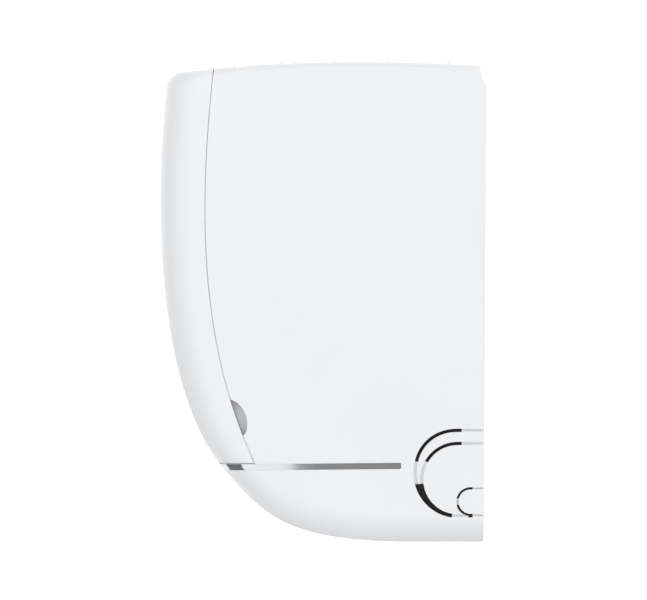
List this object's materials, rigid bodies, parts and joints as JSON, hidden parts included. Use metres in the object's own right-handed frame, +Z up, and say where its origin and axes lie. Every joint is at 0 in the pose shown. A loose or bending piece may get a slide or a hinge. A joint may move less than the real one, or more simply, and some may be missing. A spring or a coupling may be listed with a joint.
{
  "type": "wall air conditioner indoor unit",
  "caption": "Wall-mounted split air conditioner indoor unit with a curved lift-up front panel, bright trim strip, slotted top intake, swinging louvre and pipe knock-outs.",
  "frame": {"origin": "middle of the wall plate's back face, on the wall", "axes": "+X along the unit, to the right of someone facing it; +Y into the wall; +Z up"},
  "size_m": [0.82, 0.1968, 0.2906],
  "materials": {
    "case_plastic": "smooth moulded white plastic with a soft sheen",
    "bright_trim": "bright plated strip",
    "duct_plastic": "pale grey-white moulded plastic",
    "zinc_steel": "zinc-plated sheet steel",
    "fin_aluminium": "thin bare aluminium fins",
    "copper_tube": "bare drawn copper",
    "brass_nut": "turned brass",
    "dark_plastic": "dark moulded plastic",
    "black_rubber": "soft black rubber",
    "circuit_board": "green solder-masked board",
    "filter_net": "fine woven net in a moulded frame"
  },
  "bodies": {
    "casing": {"case_screw_1": "zinc_steel", "case_screw_2": "zinc_steel", "case_screw_3": "zinc_steel", "coil_fins_front": "fin_aluminium", "coil_fins_rear": "fin_aluminium", "coil_fins_upper": "fin_aluminium", "coil_sensor": "copper_tube", "coil_tube_front": "copper_tube", "coil_tube_rear": "copper_tube", "coil_tube_upper": "copper_tube", "control_box": "zinc_steel", "control_box_cover": "zinc_steel", "display_board": "circuit_board", "drain_pan": "duct_plastic", "drain_plug": "black_rubber", "drain_spigot": "duct_plastic", "fan_bearing_mount": "duct_plastic", "fan_motor": "zinc_steel", "gas_flare_nut": "brass_nut", "gas_pipe": "copper_tube", "liquid_flare_nut": "brass_nut", "liquid_pipe": "copper_tube", "louvre_bush": "duct_plastic", "louvre_motor": "duct_plastic", "main_board": "circuit_board", "motor_clamp": "zinc_steel", "outer_case": "case_plastic", "pipe_clamp": "dark_plastic", "rear_chassis": "duct_plastic", "terminal_block": "dark_plastic", "trim_strip": "bright_trim", "vane_rail_left": "duct_plastic", "vane_rail_right": "duct_plastic", "wall_plate": "zinc_steel"},
    "front_panel": {"front_panel": "case_plastic", "panel_arm_left": "case_plastic", "panel_arm_right": "case_plastic"},
    "fan": {"crossflow_fan": "dark_plastic"},
    "filter_left": {"filter_left": "filter_net"},
    "filter_right": {"filter_right": "filter_net"},
    "louvre": {"louvre": "case_plastic"},
    "auto_button": {"auto_button": "duct_plastic"},
    "vane_left_1": {"vane_left_1": "duct_plastic"},
    "vane_left_2": {"vane_left_2": "duct_plastic"},
    "vane_left_3": {"vane_left_3": "duct_plastic"},
    "vane_left_4": {"vane_left_4": "duct_plastic"},
    "vane_left_5": {"vane_left_5": "duct_plastic"},
    "vane_left_6": {"vane_left_6": "duct_plastic"},
    "link_rod_left": {"link_rod_left": "duct_plastic"},
    "vane_right_1": {"vane_right_1": "duct_plastic"},
    "vane_right_2": {"vane_right_2": "duct_plastic"},
    "vane_right_3": {"vane_right_3": "duct_plastic"},
    "vane_right_4": {"vane_right_4": "duct_plastic"},
    "vane_right_5": {"vane_right_5": "duct_plastic"},
    "vane_right_6": {"vane_right_6": "duct_plastic"},
    "link_rod_right": {"link_rod_right": "duct_plastic"}
  },
  "joints": [
    {"name": "panel_hinge", "type": "hinge", "parent": "casing", "child": "front_panel", "pos_m": [0, -0.153, 0.117], "axis": [-1, 0, 0], "range_deg": [0, 60]},
    {"name": "fan_spin", "type": "hinge", "parent": "casing", "child": "fan", "pos_m": [0, -0.088, -0.05], "axis": [1, 0, 0], "continuous": true},
    {"name": "filter_left_lift", "type": "slide", "parent": "casing", "child": "filter_left", "axis": [0, 0, 1], "range_m": [0, 0.008]},
    {"name": "filter_right_lift", "type": "slide", "parent": "casing", "child": "filter_right", "axis": [0, 0, 1], "range_m": [0, 0.008]},
    {"name": "louvre_hinge", "type": "hinge", "parent": "casing", "child": "louvre", "pos_m": [0, -0.104, -0.15], "axis": [1, 0, 0], "range_deg": [0, 75]},
    {"name": "button_press", "type": "slide", "parent": "casing", "child": "auto_button", "axis": [0, 1, 0], "range_m": [0, 0.0015], "stiffness_N_per_m": 400, "springref_m": -0.001},
    {"name": "vane_left_1_turn", "type": "hinge", "parent": "casing", "child": "vane_left_1", "pos_m": [-0.32, -0.09704, -0.11526], "axis": [0, -0.8852, 0.4651], "range_deg": [-35, 35]},
    {"name": "vane_left_2_turn", "type": "hinge", "parent": "casing", "child": "vane_left_2", "pos_m": [-0.27, -0.09704, -0.11526], "axis": [0, -0.8852, 0.4651], "range_deg": [-35, 35]},
    {"name": "vane_left_3_turn", "type": "hinge", "parent": "casing", "child": "vane_left_3", "pos_m": [-0.22, -0.09704, -0.11526], "axis": [0, -0.8852, 0.4651], "range_deg": [-35, 35]},
    {"name": "vane_left_4_turn", "type": "hinge", "parent": "casing", "child": "vane_left_4", "pos_m": [-0.17, -0.09704, -0.11526], "axis": [0, -0.8852, 0.4651], "range_deg": [-35, 35]},
    {"name": "vane_left_5_turn", "type": "hinge", "parent": "casing", "child": "vane_left_5", "pos_m": [-0.12, -0.09704, -0.11526], "axis": [0, -0.8852, 0.4651], "range_deg": [-35, 35]},
    {"name": "vane_left_6_turn", "type": "hinge", "parent": "casing", "child": "vane_left_6", "pos_m": [-0.07, -0.09704, -0.11526], "axis": [0, -0.8852, 0.4651], "range_deg": [-35, 35]},
    {"name": "link_rod_left_turn", "type": "hinge", "parent": "vane_left_1", "child": "link_rod_left", "pos_m": [-0.32, -0.09239, -0.10641], "axis": [0, -0.8852, 0.4651], "range_deg": [-35, 35]},
    {"name": "vane_right_1_turn", "type": "hinge", "parent": "casing", "child": "vane_right_1", "pos_m": [0.01, -0.09704, -0.11526], "axis": [0, -0.8852, 0.4651], "range_deg": [-35, 35]},
    {"name": "vane_right_2_turn", "type": "hinge", "parent": "casing", "child": "vane_right_2", "pos_m": [0.06, -0.09704, -0.11526], "axis": [0, -0.8852, 0.4651], "range_deg": [-35, 35]},
    {"name": "vane_right_3_turn", "type": "hinge", "parent": "casing", "child": "vane_right_3", "pos_m": [0.11, -0.09704, -0.11526], "axis": [0, -0.8852, 0.4651], "range_deg": [-35, 35]},
    {"name": "vane_right_4_turn", "type": "hinge", "parent": "casing", "child": "vane_right_4", "pos_m": [0.16, -0.09704, -0.11526], "axis": [0, -0.8852, 0.4651], "range_deg": [-35, 35]},
    {"name": "vane_right_5_turn", "type": "hinge", "parent": "casing", "child": "vane_right_5", "pos_m": [0.21, -0.09704, -0.11526], "axis": [0, -0.8852, 0.4651], "range_deg": [-35, 35]},
    {"name": "vane_right_6_turn", "type": "hinge", "parent": "casing", "child": "vane_right_6", "pos_m": [0.26, -0.09704, -0.11526], "axis": [0, -0.8852, 0.4651], "range_deg": [-35, 35]},
    {"name": "link_rod_right_turn", "type": "hinge", "parent": "vane_right_1", "child": "link_rod_right", "pos_m": [0.01, -0.09239, -0.10641], "axis": [0, -0.8852, 0.4651], "range_deg": [-35, 35]}
  ],
  "couplings": [
    {"joint": "vane_left_2_turn", "follows": "vane_left_1_turn", "ratio": 1},
    {"joint": "vane_left_3_turn", "follows": "vane_left_1_turn", "ratio": 1},
    {"joint": "vane_left_4_turn", "follows": "vane_left_1_turn", "ratio": 1},
    {"joint": "vane_left_5_turn", "follows": "vane_left_1_turn", "ratio": 1},
    {"joint": "vane_left_6_turn", "follows": "vane_left_1_turn", "ratio": 1},
    {"joint": "link_rod_left_turn", "follows": "vane_left_1_turn", "ratio": -1},
    {"joint": "vane_right_2_turn", "follows": "vane_right_1_turn", "ratio": 1},
    {"joint": "vane_right_3_turn", "follows": "vane_right_1_turn", "ratio": 1},
    {"joint": "vane_right_4_turn", "follows": "vane_right_1_turn", "ratio": 1},
    {"joint": "vane_right_5_turn", "follows": "vane_right_1_turn", "ratio": 1},
    {"joint": "vane_right_6_turn", "follows": "vane_right_1_turn", "ratio": 1},
    {"joint": "link_rod_right_turn", "follows": "vane_right_1_turn", "ratio": -1}
  ]
}
